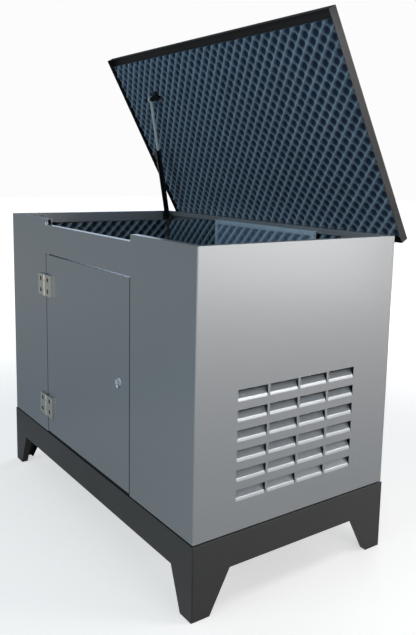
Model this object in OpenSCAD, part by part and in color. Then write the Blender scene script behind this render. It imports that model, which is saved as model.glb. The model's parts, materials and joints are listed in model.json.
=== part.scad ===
/* [Enclosure] */
// Length of the sheet enclosure, end wall to end wall
body_len = 1656; // [1500:4:1900]
// Width of the enclosure, front face to rear face
body_w = 918; // [840:2:1040]
// Height of the walls above the floor plate
wall_h = 1000; // [900:5:1150]
// Thickness of the folded wall sheets
sheet_t = 2; // [1.5:0.5:3]
// Outside radius of the folded corners
corner_r = 4; // [3.5:0.5:6]
// Depth of the corner return that laps behind an end wall
corner_lap = 30; // [20:1:45]
// Width of the top and bottom flanges of the walls
rim_w = 30; // [24:1:40]
// Depth of the lip that hangs from the top flange
rim_lip = 50; // [30:1:70]
// Depth of the lip on the rear wall, where the lining runs higher
rear_lip = 24; // [15:1:40]

/* [Base] */
// Height of the base rails, ground to rail top
base_h = 277; // [240:1:340]
// Depth of the apron between the legs
apron_h = 122; // [90:1:150]
// Thickness of the base plates
base_t = 4; // [3:0.5:6]
// How far the base stands out past the walls
base_out = 3; // [0:0.5:8]
// Width of the inward flange on top of the rails
base_flange = 45; // [35:1:60]
// Width of a leg at the ground
leg_foot = 72; // [50:1:100]
// Width of a leg under the apron, on the long sides
leg_top_long = 135; // [100:1:180]
// Width of a leg under the apron, on the ends
leg_top_end = 155; // [100:1:200]
// Depth of the return along the inner edge of a leg
leg_return = 30; // [10:1:50]
// Thickness of the floor plate
floor_t = 4; // [3:0.5:8]
// Setback of the floor plate from the wall faces, the shadow gap
floor_set = 5; // [4:1:16]

/* [Front] */
// Width of the left front pillar
left_pillar_w = 422; // [340:1:480]
// Width of the right front pillar
right_pillar_w = 436; // [340:1:500]
// Depth of the returns along the door opening
jamb = 15; // [10:1:22]
// Drop of the header below the pillar tops
header_drop = 26; // [12:1:50]
// Height of the header panel
header_h = 128; // [90:1:180]
// Gap around the door
door_gap = 6; // [5:0.5:9]
// Gap between the door and the floor plate
door_lift = 7; // [5:0.5:10]
// Depth of the folded edges of the door
door_d = 24; // [18:1:30]

/* [Linings] */
// Thickness of the wall linings over their peaks
foam_t = 32; // [28:1:40]
// Thickness of the lining in the door
door_foam_t = 22; // [16:1:28]
// Thickness of the lining in the lid
lid_foam_t = 26; // [20:1:30]
// Free space around the edge of each lining
foam_gap = 2; // [1:0.5:5]
// Rise of the rear lining from its low left corner
rear_rise = 26; // [0:1:30]
// Length of the sloping stretch of the rear lining
rear_slope = 310; // [150:5:500]

/* [Louvres] */
// Number of louvres in a row
louvre_cols = 4; // [2:1:5]
// Number of rows
louvre_rows = 6; // [2:1:7]
// Width of one louvre
louvre_w = 130; // [90:1:150]
// Height of one louvre opening
louvre_h = 43; // [34:1:50]
// Bridge of sheet between two louvres in a row
louvre_bridge = 10; // [8:1:25]
// Distance from one row to the next
louvre_pitch = 71.5; // [60:0.5:90]
// Bottom of the lowest row above the floor plate
louvre_z = 107; // [60:1:200]
// Shift of the louvre field towards the front
louvre_shift = 9; // [0:1:40]
// Length of a louvre flap past its bend
flap_len = 33; // [20:1:34]
// Lean of a louvre flap into the enclosure
flap_lean = 30; // [20:1:50]
// Inside radius of the louvre bend
flap_bend = 7; // [3:0.5:9]
// Slit beside a louvre flap
flap_slit = 1; // [0.5:0.5:2]

/* [Lid] */
// Setback of the lid's front edge from the front face
lid_front_set = 19; // [0:1:24]
// Reach of the lid past the rear face
lid_over = 31; // [24:1:45]
// Setback of the lid from each end
lid_side_set = 5; // [0:1:10]
// Depth of the lid's folded skirt
lid_skirt = 35; // [30:1:50]
// Gap under the closed lid
lid_gap = 5; // [5:0.5:10]
// Bare strip along the lid's front skirt
lid_bare_front = 40; // [20:1:70]
// Bare strip along the lid's rear skirt
lid_bare_rear = 20; // [16:1:80]
// Bare strip along the lid's side skirts
lid_bare_side = 12; // [4:1:40]
// Angle of the raised lid
lid_open = 61.3; // [30:0.1:75]

/* [Hinges] */
// Length of a hinge along its pin
hinge_l = 98; // [80:2:140]
// Width of a door hinge leaf, pin to edge
door_leaf_w = 68; // [50:1:80]
// Thickness of a door hinge leaf
door_leaf_t = 12; // [9:0.5:12]
// Radius of the screw pockets in a door hinge leaf
pocket_r = 10; // [5:0.5:11]
// Depth of the screw pockets
pocket_d = 8.5; // [4:0.5:9]
// Distance of the screw pockets from the middle of the leaf
pocket_z = 26; // [20:1:30]
// Width of a lid hinge leaf, pin to edge
lid_leaf_w = 50; // [36:1:60]
// Thickness of a lid hinge leaf
lid_leaf_t = 5; // [4:0.5:6]
// Radius of the hinge knuckles
knuckle_r = 7; // [6.5:0.25:8]
// Radius of the hinge pins
pin_r = 4; // [3:0.25:5]
// Length of the middle knuckle
knuckle_mid = 40; // [30:1:50]
// End gap between two knuckles
knuckle_gap = 1; // [0.5:0.25:2]
// Distance of a hinge pin from the face it is screwed to
hinge_off = 9; // [8.5:0.25:11]
// Running clearance of a pin, on the radius
pin_fit = 0.05; // [0.02:0.01:0.1]
// Height of the lower door hinge above the floor plate
door_hinge_low = 133; // [90:1:200]
// Depth of the upper door hinge below the wall tops
door_hinge_drop = 299; // [200:1:400]
// Depth of the lid hinge pins below the wall tops
lid_hinge_drop = 28; // [20:0.5:40]
// Distance of the lid hinges from the ends of the enclosure
lid_hinge_end = 268; // [120:2:500]

/* [Lock] */
// Distance of the lock from the door's free edge
lock_edge = 75; // [40:1:120]
// Height of the lock above the floor plate
lock_z = 430; // [300:5:600]
// Radius of the lock's collar
lock_collar_r = 15; // [12:0.5:18]
// Thickness of the lock's collar
lock_collar_t = 3; // [2:0.5:5]
// Radius of the lock's barrel
lock_r = 10; // [8:0.5:11]
// Reach of the barrel in front of the door
lock_reach = 15; // [10:0.5:16]
// Reach of the barrel behind the door sheet
lock_depth = 12; // [8:0.5:16]
// Length of the lock's cam
cam_len = 48; // [35:1:60]
// Width of the lock's cam
cam_w = 18; // [14:1:20]
// Thickness of the lock's cam
cam_t = 3; // [2:0.5:4]

/* [Gas strut] */
// Distance of the lower pivot from the end of the enclosure
strut_low_x = 52; // [50:0.5:60]
// Distance of the lower pivot from the rear face
strut_low_y = 49; // [46:1:80]
// Depth of the lower pivot below the wall tops
strut_low_drop = 35; // [28:1:40]
// Distance of the upper pivot from the end of the enclosure
strut_up_x = 313; // [200:1:340]
// Distance of the upper pivot from the lid's hinge line
strut_arm = 684; // [600:1:720]
// Rise of the upper pivot above the hinge line, lid closed
strut_up_n = 8; // [4:0.5:14]
// Radius of the strut's cylinder
tube_r = 14; // [11:0.5:16]
// Length of the strut's cylinder
tube_len = 430; // [360:1:460]
// Radius of the strut's rod
rod_r = 7; // [4:0.25:9]
// Length of rod held inside the cylinder
rod_inside = 120; // [80:1:200]
// Radius of the pivot studs
stud_r = 4; // [3:0.25:5]
// Outside radius of the lower eye
eye_r = 9; // [8:0.5:11]
// Width of the eyes
eye_w = 10; // [8:0.5:12]
// Free play of the upper eye around its stud
eye_play = 7; // [6.5:0.25:9]
// Wall of the upper eye's ring
ring_wall = 4.5; // [3:0.5:6]
// Side play of the upper eye along its stud
stud_play = 23; // [18:0.5:28]
// Length of the bracket's base plate on the lid
bracket_l = 60; // [50:2:80]
// Width of the bracket's base plate
bracket_w = 44; // [36:2:60]
// Radius of the bracket's ear and of the stud's end plate
ear_r = 12; // [12:0.5:14]
// Thickness of the lower bracket's plate and of the ear
plate_t = 4; // [3:0.5:5]

/* [Partition] */
// Distance of the framed panel from the left end
part_left_in = 524; // [300:1:600]
// Distance of the framed panel from the right end
part_right_in = 402; // [300:1:520]
// Height of the framed panel above the floor plate
part_h = 985; // [880:1:990]
// Thickness of the framed panel
part_t = 16; // [10:1:50]
// Width of the panel's edging
edging_w = 18; // [12:1:25]
// Thickness of the edging sheet
edging_t = 2; // [1.5:0.5:3]

/* [Hidden] */
$fn = 48;

// Heights
floor_z = base_h + floor_t;
top_z = floor_z + wall_h;
header_top = top_z - header_drop;
header_z = header_top - header_h;
hinge_z = top_z - lid_hinge_drop;
lid_z = top_z + lid_gap;
lid_top = lid_z + lid_skirt;

// Plan. The origin is on the ground under the middle of the whole set, lid raised.
half_len = body_len / 2;
corner_y = lid_over - hinge_off;
corner_z = lid_top - hinge_z;
lid_reach = hinge_off + corner_y * cos(lid_open) + corner_z * sin(lid_open);
knuckle_reach = hinge_off + knuckle_r;
front_y = -(body_w + lid_reach - knuckle_reach) / 2;
rear_y = front_y + body_w;
hinge_y = rear_y + hinge_off;
left_jamb_x = -half_len + left_pillar_w;
right_jamb_x = half_len - right_pillar_w;
door_left = left_jamb_x + door_gap;
door_right = right_jamb_x - door_gap;
door_bottom = floor_z + door_lift;
door_top = header_z - door_gap;
door_pin_x = left_jamb_x + door_gap / 2;
door_pin_y = front_y - hinge_off;
lip_in = rim_w - sheet_t;
lid_hinge_x = half_len - lid_hinge_end;
part_left = -half_len + part_left_in;
part_right = half_len - part_right_in;

// Strut pivots, lid raised
strut_low = [-half_len + strut_low_x, rear_y - strut_low_y, top_z - strut_low_drop];
strut_up = [
    -half_len + strut_up_x,
    hinge_y - strut_arm * cos(lid_open) + strut_up_n * sin(lid_open),
    hinge_z + strut_arm * sin(lid_open) + strut_up_n * cos(lid_open)
];
strut_v = strut_up - strut_low;
strut_len = norm(strut_v);
strut_tilt = atan2(-strut_v[1], strut_v[2]);
strut_lean = atan2(strut_v[0], norm([strut_v[1], strut_v[2]]));

// ---------- helpers ----------

// Sheet in the XZ plane, given as an outline, from y to y + t
module plate_y(y, t) {
    translate([0, y + t, 0]) rotate([90, 0, 0]) linear_extrude(t) children();
}

// Outline in the XZ plane drawn along Y
module run_y(y0, y1) {
    translate([0, y1, 0]) rotate([90, 0, 0]) linear_extrude(y1 - y0) children();
}

// Outline in the YZ plane drawn along X
module run_x(x0, x1) {
    translate([x0, 0, 0]) rotate([90, 0, 90]) linear_extrude(x1 - x0) children();
}

// Block from its low corner to its high corner
module block(a, b) {
    translate(a) cube(b - a);
}

// Turn a piece drawn in the closed lid's place to the raised lid's place
module raised() {
    translate([0, hinge_y, hinge_z]) rotate([-lid_open, 0, 0])
        translate([0, -hinge_y, -hinge_z]) children();
}

// ---------- base ----------

// Rail outline: an apron with a tapered leg at each end
module rail_shape(half, top_w) {
    z1 = base_h - apron_h;
    polygon([
        [-half, base_h], [half, base_h], [half, 0], [half - leg_foot, 0],
        [half - top_w, z1], [-half + top_w, z1], [-half + leg_foot, 0], [-half, 0]
    ]);
}

// Section of the return that stiffens the inner edge of a leg
module return_shape(half, top_w) {
    z1 = base_h - apron_h;
    wide = base_t * norm([top_w - leg_foot, z1]) / z1;
    for (side = [-1, 1])
        polygon([
            [side * (half - leg_foot), 0], [side * (half - leg_foot + wide), 0],
            [side * (half - top_w + wide), z1], [side * (half - top_w), z1]
        ]);
}

module long_rail(outer) {
    half = half_len + base_out;
    y0 = outer < 0 ? front_y - base_out : rear_y + base_out - base_t;
    f0 = outer < 0 ? y0 : y0 + base_t - base_flange;
    r0 = outer < 0 ? y0 : y0 + base_t - leg_return;
    plate_y(y0, base_t) rail_shape(half, leg_top_long);
    plate_y(r0, leg_return) return_shape(half, leg_top_long);
    block([-half, f0, base_h - base_t], [half, f0 + base_flange, base_h]);
}

module end_rail() {
    half = body_w / 2 + base_out - base_t;
    mid = (front_y + rear_y) / 2;
    x1 = half_len + base_out;
    y0 = front_y - base_out + base_flange;
    y1 = rear_y + base_out - base_flange;
    translate([x1 - base_t, mid, 0]) rotate([90, 0, 90]) linear_extrude(base_t)
        difference() {
            rail_shape(half, leg_top_end);
            translate([-half - 1, base_h - base_t]) square([base_flange - base_t + 1, base_t + 1]);
            translate([half - base_flange + base_t, base_h - base_t])
                square([base_flange - base_t + 1, base_t + 1]);
        }
    translate([x1 - leg_return, mid, 0]) rotate([90, 0, 90]) linear_extrude(leg_return)
        return_shape(half, leg_top_end);
    block([x1 - base_flange, y0, base_h - base_t], [x1, y1, base_h]);
}

module front_rail() {
    color([0.16, 0.17, 0.18]) long_rail(-1);
}

module rear_rail() {
    color([0.16, 0.17, 0.18]) long_rail(1);
}

module left_rail() {
    color([0.16, 0.17, 0.18]) mirror([1, 0, 0]) end_rail();
}

module right_rail() {
    color([0.16, 0.17, 0.18]) end_rail();
}

module floor_plate() {
    color([0.2, 0.21, 0.22]) block(
        [-half_len + floor_set, front_y + floor_set, base_h],
        [half_len - floor_set, rear_y - floor_set, floor_z]
    );
}

// ---------- walls ----------

// Section of a wall sheet with its bottom flange, top flange and lip.
// The outer face is at 0 and the flanges point to +.
module wall_section(z0, z1, lip) {
    translate([0, z0]) square([sheet_t, z1 - z0]);
    translate([0, z0]) square([rim_w, sheet_t]);
    translate([0, z1 - sheet_t]) square([rim_w, sheet_t]);
    translate([lip_in, z1 - lip]) square([sheet_t, lip]);
}

// Corner fold in plan, centred on the fold's centre, with the lap behind the end wall
module corner_plan() {
    intersection() {
        difference() {
            circle(r = corner_r);
            circle(r = corner_r - sheet_t);
        }
        translate([0, -corner_r]) square(corner_r);
    }
    translate([corner_r - 2 * sheet_t, -sheet_t / 2]) square([sheet_t, corner_lap]);
    translate([corner_r - 2 * sheet_t, -sheet_t / 2]) square([sheet_t * 1.5, sheet_t / 2]);
}

// Folded corner at the front right, full height, its lap between the flanges
module front_corner() {
    translate([half_len - corner_r, front_y + corner_r, 0]) {
        translate([0, 0, floor_z]) linear_extrude(wall_h) intersection() {
            corner_plan();
            translate([0, -corner_r]) square([corner_r, corner_r]);
        }
        translate([0, 0, floor_z + sheet_t]) linear_extrude(wall_h - 2 * sheet_t) corner_plan();
    }
}

// Front pillar at the right, from its jamb at x0 to the corner
module pillar(x0) {
    x1 = half_len - corner_r;
    xr = half_len - rim_w;
    block([x0, front_y, floor_z], [x1, front_y + sheet_t, top_z]);
    translate([0, front_y, 0]) run_x(x0, xr) wall_section(floor_z, top_z, rim_lip);
    block([x0, front_y, floor_z], [x0 + sheet_t, front_y + jamb, top_z]);
    front_corner();
}

module front_right_pillar() {
    color([0.47, 0.5, 0.51]) pillar(right_jamb_x);
}

module front_left_pillar() {
    color([0.47, 0.5, 0.51]) mirror([1, 0, 0]) pillar(-left_jamb_x);
}

module rear_wall() {
    x1 = half_len - corner_r;
    xr = half_len - rim_w;
    color([0.47, 0.5, 0.51]) {
        block([-x1, rear_y - sheet_t, floor_z], [x1, rear_y, top_z]);
        translate([0, rear_y, 0]) mirror([0, 1, 0]) run_x(-xr, xr)
            wall_section(floor_z, top_z, rear_lip);
        for (side = [0, 1])
            mirror([side, 0, 0]) translate([0, front_y + rear_y, 0])
                mirror([0, 1, 0]) front_corner();
    }
}

// Plain end wall at the right
module end_wall() {
    y0 = front_y + corner_r;
    y1 = rear_y - corner_r;
    run_y(y0, y1) translate([half_len, 0]) mirror([1, 0]) wall_section(floor_z, top_z, rim_lip);
}

module left_end_wall() {
    color([0.6, 0.62, 0.63]) mirror([1, 0, 0]) end_wall();
}

louvre_field = louvre_cols * louvre_w + (louvre_cols - 1) * louvre_bridge;
louvre_y = (front_y + rear_y) / 2 - louvre_shift - louvre_field / 2;
function louvre_at(col, row) = [
    louvre_y + col * (louvre_w + louvre_bridge),
    floor_z + louvre_z + row * louvre_pitch
];

// Flap section: bent in from the wall's plane, then straight. Outer face starts at 0, inside is -.
function bend_point(r, a) = [-(flap_bend + sheet_t) + r * cos(a), r * sin(a)];
flap_tip = [-flap_len * sin(flap_lean), flap_len * cos(flap_lean)];
module flap_section() {
    steps = 6;
    outer = [for (i = [0:steps]) bend_point(flap_bend + sheet_t, flap_lean * i / steps)];
    inner = [for (i = [steps:-1:0]) bend_point(flap_bend, flap_lean * i / steps)];
    polygon(concat(
        [[0, -1]], outer, [outer[steps] + flap_tip], [inner[0] + flap_tip], inner, [[-sheet_t, -1]]
    ));
}

module right_end_wall() {
    color([0.6, 0.62, 0.63]) {
        difference() {
            end_wall();
            for (c = [0:louvre_cols - 1], r = [0:louvre_rows - 1]) {
                p = louvre_at(c, r);
                translate([half_len - sheet_t - 1, p[0], p[1]])
                    cube([sheet_t + 2, louvre_w, louvre_h]);
            }
        }
        for (c = [0:louvre_cols - 1], r = [0:louvre_rows - 1]) {
            p = louvre_at(c, r);
            translate([half_len, 0, p[1]])
                run_y(p[0] + flap_slit, p[0] + louvre_w - flap_slit) flap_section();
        }
    }
}

module header_panel() {
    color([0.47, 0.5, 0.51]) {
        block([left_jamb_x, front_y, header_z], [right_jamb_x, front_y + sheet_t, header_top]);
        block(
            [left_jamb_x, front_y, header_top - sheet_t],
            [right_jamb_x, front_y + lip_in, header_top]
        );
        block(
            [left_jamb_x, front_y, header_z],
            [right_jamb_x, front_y + jamb, header_z + sheet_t]
        );
    }
}

// ---------- linings ----------

foam_z = floor_z + sheet_t;
foam_top = top_z - rim_lip - foam_gap;
foam_x = half_len - sheet_t - foam_t;
foam_col = [0.2, 0.26, 0.32];

module left_end_foam() {
    color(foam_col) block(
        [-half_len + sheet_t, front_y + corner_lap + corner_r + foam_gap, foam_z],
        [-foam_x, rear_y - corner_lap - corner_r - foam_gap, foam_top]
    );
}

module right_end_foam() {
    color(foam_col) block(
        [
            foam_x,
            front_y + corner_lap + corner_r + foam_gap,
            floor_z + louvre_z + louvre_rows * louvre_pitch + foam_gap
        ],
        [half_len - sheet_t, rear_y - corner_lap - corner_r - foam_gap, foam_top]
    );
}

module rear_foam() {
    x1 = foam_x - foam_gap;
    color(foam_col) plate_y(rear_y - sheet_t - foam_t, foam_t) polygon([
        [-x1, foam_z], [x1, foam_z], [x1, foam_top + rear_rise],
        [-x1 + rear_slope, foam_top + rear_rise], [-x1, foam_top]
    ]);
}

module front_left_foam() {
    color(foam_col) block(
        [-foam_x + foam_gap, front_y + sheet_t, foam_z],
        [left_jamb_x - sheet_t - foam_gap, front_y + sheet_t + foam_t, foam_top]
    );
}

module front_right_foam() {
    color(foam_col) block(
        [right_jamb_x + sheet_t + foam_gap, front_y + sheet_t, foam_z],
        [foam_x - foam_gap, front_y + sheet_t + foam_t, foam_top]
    );
}

module header_foam() {
    color(foam_col) block(
        [left_jamb_x + foam_gap, front_y + sheet_t, header_z + sheet_t + foam_gap],
        [right_jamb_x - foam_gap, front_y + sheet_t + foam_t, header_top - sheet_t - foam_gap]
    );
}

// ---------- framed panel in front of the rear lining ----------

part_y1 = rear_y - sheet_t - foam_t - foam_gap;
part_y0 = part_y1 - part_t;
part_top = floor_z + part_h;

// Channel edging round the panel: open to the middle, closed on its outside
module partition_frame() {
    color([0.7, 0.73, 0.76]) difference() {
        block([part_left, part_y0, floor_z], [part_right, part_y1, part_top]);
        block(
            [part_left + edging_w, part_y0 - 1, floor_z + edging_w],
            [part_right - edging_w, part_y1 + 1, part_top - edging_w]
        );
        block(
            [part_left + edging_t, part_y0 + edging_t, floor_z + edging_t],
            [part_right - edging_t, part_y1 - edging_t, part_top - edging_t]
        );
    }
}

module partition_foam() {
    color([0.42, 0.52, 0.6]) block(
        [part_left + edging_t, part_y0 + edging_t, floor_z + edging_t],
        [part_right - edging_t, part_y1 - edging_t, part_top - edging_t]
    );
}

// ---------- door ----------

lock_x = door_right - lock_edge;
lock_h = floor_z + lock_z;
lock_fit = 0.2;

module door_panel() {
    color([0.45, 0.48, 0.49]) difference() {
        block([door_left, front_y, door_bottom], [door_right, front_y + door_d, door_top]);
        block(
            [door_left + sheet_t, front_y + sheet_t, door_bottom + sheet_t],
            [door_right - sheet_t, front_y + door_d + 1, door_top - sheet_t]
        );
        translate([lock_x, front_y - 1, lock_h]) rotate([-90, 0, 0])
            cylinder(r = lock_r + lock_fit, h = sheet_t + 2);
    }
}

module door_foam() {
    in = sheet_t + foam_gap;
    room = lock_collar_r + foam_gap;
    color(foam_col) difference() {
        block(
            [door_left + in, front_y + sheet_t, door_bottom + in],
            [door_right - in, front_y + sheet_t + door_foam_t, door_top - in]
        );
        block(
            [lock_x - room, front_y, lock_h - cam_len - foam_gap],
            [lock_x + room, front_y + door_d + 1, lock_h + room]
        );
    }
}

module lock_body() {
    color([0.85, 0.85, 0.87]) translate([lock_x, front_y, lock_h]) rotate([-90, 0, 0]) {
        translate([0, 0, -lock_collar_t]) cylinder(r = lock_collar_r, h = lock_collar_t);
        difference() {
            translate([0, 0, -lock_reach]) cylinder(r = lock_r, h = lock_reach + sheet_t + lock_depth);
            translate([-1, -lock_r / 2, -lock_reach - 1]) cube([2, lock_r, 5]);
        }
    }
}

module lock_cam() {
    y0 = front_y + sheet_t + lock_depth;
    half = cam_w / 2;
    color([0.7, 0.71, 0.72]) plate_y(y0, cam_t) translate([lock_x, lock_h]) {
        circle(r = half);
        translate([-half, half - cam_len]) square([cam_w, cam_len - half]);
    }
}

// ---------- hinges ----------

// Knuckles drawn along Z round the pin: the middle one, or the two ends
module knuckles(middle) {
    if (middle) {
        translate([0, 0, -knuckle_mid / 2]) cylinder(r = knuckle_r, h = knuckle_mid);
    } else {
        z0 = knuckle_mid / 2 + knuckle_gap;
        for (s = [0, 1]) mirror([0, 0, s])
            translate([0, 0, z0]) cylinder(r = knuckle_r, h = hinge_l / 2 - z0);
    }
}

// Tongue of the leaf to its own knuckles
module tongues(middle, w, t) {
    y0 = hinge_off - t;
    if (middle) {
        block([0, y0, -knuckle_mid / 2], [w, hinge_off, knuckle_mid / 2]);
    } else {
        z0 = knuckle_mid / 2 + knuckle_gap;
        for (s = [0, 1]) mirror([0, 0, s]) block([0, y0, z0], [w, hinge_off, hinge_l / 2]);
    }
}

module pin_bore() {
    cylinder(r = pin_r + pin_fit, h = hinge_l + 2, center = true);
}

// Leaf on the +X side of a pin along Z, on a face that is hinge_off behind the pin
leaf_start = knuckle_r + 1.5;
module leaf(middle, w, t) {
    difference() {
        union() {
            block([leaf_start, hinge_off - t, -hinge_l / 2], [w, hinge_off, hinge_l / 2]);
            tongues(middle, leaf_start + 1, t);
            knuckles(middle);
        }
        pin_bore();
    }
}

// Thick cast leaf with two screw pockets in its front
module cast_leaf(middle) {
    difference() {
        leaf(middle, door_leaf_w, door_leaf_t);
        for (s = [0, 1]) mirror([0, 0, s])
            translate([(leaf_start + door_leaf_w) / 2, hinge_off - door_leaf_t - 1, pocket_z])
                rotate([-90, 0, 0]) cylinder(r = pocket_r, h = pocket_d + 1);
    }
}

// Pin with a flat head at each end, just clear of the end knuckles
module hinge_pin() {
    head_t = 2.5;
    head_r = pin_r + 1.5;
    head_play = 0.3;
    head_z = hinge_l / 2 + head_play;
    cylinder(r = pin_r, h = 2 * head_z + head_t, center = true);
    for (s = [0, 1]) mirror([0, 0, s]) translate([0, 0, head_z]) cylinder(r = head_r, h = head_t);
}

hinge_col = [0.72, 0.71, 0.67];

// Door hinges: the lower one is set from the floor, the upper one from the wall tops
module at_door_hinge(upper) {
    z = upper ? top_z - door_hinge_drop : floor_z + door_hinge_low;
    translate([door_pin_x, door_pin_y, z]) children();
}

module upper_hinge_frame_leaf() {
    color(hinge_col) at_door_hinge(true) mirror([1, 0, 0]) cast_leaf(false);
}

module upper_hinge_door_leaf() {
    color(hinge_col) at_door_hinge(true) cast_leaf(true);
}

module upper_hinge_pin() {
    color([0.6, 0.6, 0.6]) at_door_hinge(true) hinge_pin();
}

module lower_hinge_frame_leaf() {
    color(hinge_col) at_door_hinge(false) mirror([1, 0, 0]) cast_leaf(false);
}

module lower_hinge_door_leaf() {
    color(hinge_col) at_door_hinge(false) cast_leaf(true);
}

module lower_hinge_pin() {
    color([0.6, 0.6, 0.6]) at_door_hinge(false) hinge_pin();
}

// Lid hinges: the pin lies along X behind the rear wall
module at_lid_hinge(side) {
    translate([side * lid_hinge_x, hinge_y, hinge_z]) rotate([180, 0, 0]) rotate([0, 90, 0])
        children();
}

module lid_frame_leaf(side) {
    color(hinge_col) at_lid_hinge(side) mirror([1, 0, 0])
        leaf(false, lid_leaf_w, lid_leaf_t);
}

// Cranked leaf: a neck from the middle knuckle to the inside of the lid's rear skirt
module lid_leaf(side) {
    reach = lid_over - hinge_off - sheet_t;
    rise = lid_top - sheet_t - 0.3 - hinge_z;
    low = lid_z - hinge_z + 1;
    half = knuckle_mid / 2;
    x0 = side * lid_hinge_x;
    color(hinge_col) raised() translate([x0, hinge_y, hinge_z]) difference() {
        union() {
            rotate([0, 90, 0]) knuckles(true);
            block([-half, 0, -lid_leaf_t / 2], [half, reach, lid_leaf_t / 2]);
            block([-half, reach - lid_leaf_t, -lid_leaf_t / 2], [half, reach, low + 1]);
            block([-hinge_l / 2, reach - lid_leaf_t, low], [hinge_l / 2, reach, rise]);
        }
        rotate([0, 90, 0]) pin_bore();
    }
}

module lid_pin(side) {
    color([0.6, 0.6, 0.6]) at_lid_hinge(side) hinge_pin();
}

module left_lid_hinge_frame_leaf() {
    lid_frame_leaf(-1);
}

module left_lid_hinge_lid_leaf() {
    lid_leaf(-1);
}

module left_lid_hinge_pin() {
    lid_pin(-1);
}

module right_lid_hinge_frame_leaf() {
    lid_frame_leaf(1);
}

module right_lid_hinge_lid_leaf() {
    lid_leaf(1);
}

module right_lid_hinge_pin() {
    lid_pin(1);
}

// ---------- lid ----------

lid_x = half_len - lid_side_set;
lid_y0 = front_y + lid_front_set;
lid_y1 = rear_y + lid_over;

module lid_panel() {
    color([0.13, 0.14, 0.15]) raised() difference() {
        block([-lid_x, lid_y0, lid_z], [lid_x, lid_y1, lid_top]);
        block(
            [-lid_x + sheet_t, lid_y0 + sheet_t, lid_z - 1],
            [lid_x - sheet_t, lid_y1 - sheet_t, lid_top - sheet_t]
        );
    }
}

module lid_foam() {
    z1 = lid_top - sheet_t;
    cx = strut_up[0];
    cy = hinge_y - strut_arm;
    color(foam_col) raised() difference() {
        block(
            [-lid_x + lid_bare_side, lid_y0 + lid_bare_front, z1 - lid_foam_t],
            [lid_x - lid_bare_side, lid_y1 - lid_bare_rear, z1]
        );
        block(
            [cx - bracket_l / 2 - foam_gap, cy - bracket_w / 2 - foam_gap, z1 - lid_foam_t - 1],
            [cx + bracket_l / 2 + foam_gap, cy + bracket_w / 2 + foam_gap, z1 + 1]
        );
    }
}

// ---------- gas strut ----------

// Plate on the end wall's lip with a stud towards the middle
module strut_lower_bracket() {
    lip_x = -half_len + rim_w;
    half_w = 16;
    x0 = lip_x + plate_t - 1;
    stud_end = strut_low[0] + eye_w / 2 + 2;
    collar_end = strut_low[0] - eye_w / 2 - 0.3;
    color([0.25, 0.25, 0.26]) {
        block(
            [lip_x, strut_low[1] - half_w, top_z - rim_lip + 2],
            [lip_x + plate_t, strut_low[1] + half_w, top_z - 4]
        );
        translate([x0, strut_low[1], strut_low[2]]) rotate([0, 90, 0])
            cylinder(r = stud_r, h = stud_end - x0);
        translate([x0, strut_low[1], strut_low[2]]) rotate([0, 90, 0])
            cylinder(r = eye_r - 1, h = collar_end - x0);
    }
}

// Frame of the strut: origin at the lower pivot, Z along the strut
module strut_frame() {
    translate(strut_low) rotate([strut_tilt, 0, 0]) rotate([0, strut_lean, 0]) children();
}

// The same turn without the lean, for the eyes, whose bores lie along X
module eye_frame(p) {
    translate(p) rotate([strut_tilt, 0, 0]) rotate([0, 90, 0]) children();
}

module strut_cylinder() {
    start = eye_r + 4;
    bore = rod_inside + 50;
    color([0.07, 0.07, 0.08]) difference() {
        union() {
            eye_frame(strut_low) cylinder(r = eye_r, h = eye_w, center = true);
            strut_frame() cylinder(r = eye_w / 2, h = start + 4);
            strut_frame() translate([0, 0, start]) cylinder(r = tube_r, h = tube_len - start);
        }
        eye_frame(strut_low) cylinder(r = stud_r + pin_fit, h = 4 * eye_w, center = true);
        strut_frame() translate([0, 0, tube_len - bore]) cylinder(r = rod_r + pin_fit, h = bore + 1);
    }
}

module strut_rod() {
    ring_r = stud_r + eye_play + ring_wall;
    color([0.85, 0.86, 0.88]) difference() {
        union() {
            strut_frame() translate([0, 0, tube_len - rod_inside])
                cylinder(r = rod_r, h = strut_len - ring_r + 2 - tube_len + rod_inside);
            eye_frame(strut_up) cylinder(r = ring_r, h = eye_w, center = true);
        }
        eye_frame(strut_up) cylinder(r = stud_r + eye_play, h = 4 * eye_w, center = true);
    }
}

// Angle bracket on the lid sheet: base plate, one ear and a long stud
module strut_upper_bracket() {
    z1 = lid_top - sheet_t;
    p = [strut_up[0], hinge_y - strut_arm, hinge_z + strut_up_n];
    base_plate = 3;
    end_plate = 3;
    ear_x = p[0] + eye_w / 2 + 7;
    stud_x0 = p[0] - eye_w / 2 - stud_play;
    color([0.12, 0.12, 0.13]) raised() {
        block(
            [p[0] - bracket_l / 2, p[1] - bracket_w / 2, z1 - base_plate],
            [p[0] + bracket_l / 2, p[1] + bracket_w / 2, z1]
        );
        block([ear_x, p[1] - ear_r, p[2]], [ear_x + plate_t, p[1] + ear_r, z1 - base_plate + 1]);
        translate([ear_x, p[1], p[2]]) rotate([0, 90, 0]) cylinder(r = ear_r, h = plate_t);
        translate([stud_x0, p[1], p[2]]) rotate([0, 90, 0])
            cylinder(r = stud_r, h = ear_x + 1 - stud_x0);
        translate([stud_x0 - end_plate, p[1], p[2]]) rotate([0, 90, 0])
            cylinder(r = ear_r, h = end_plate);
    }
}

// ---------- nodes ----------

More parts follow.
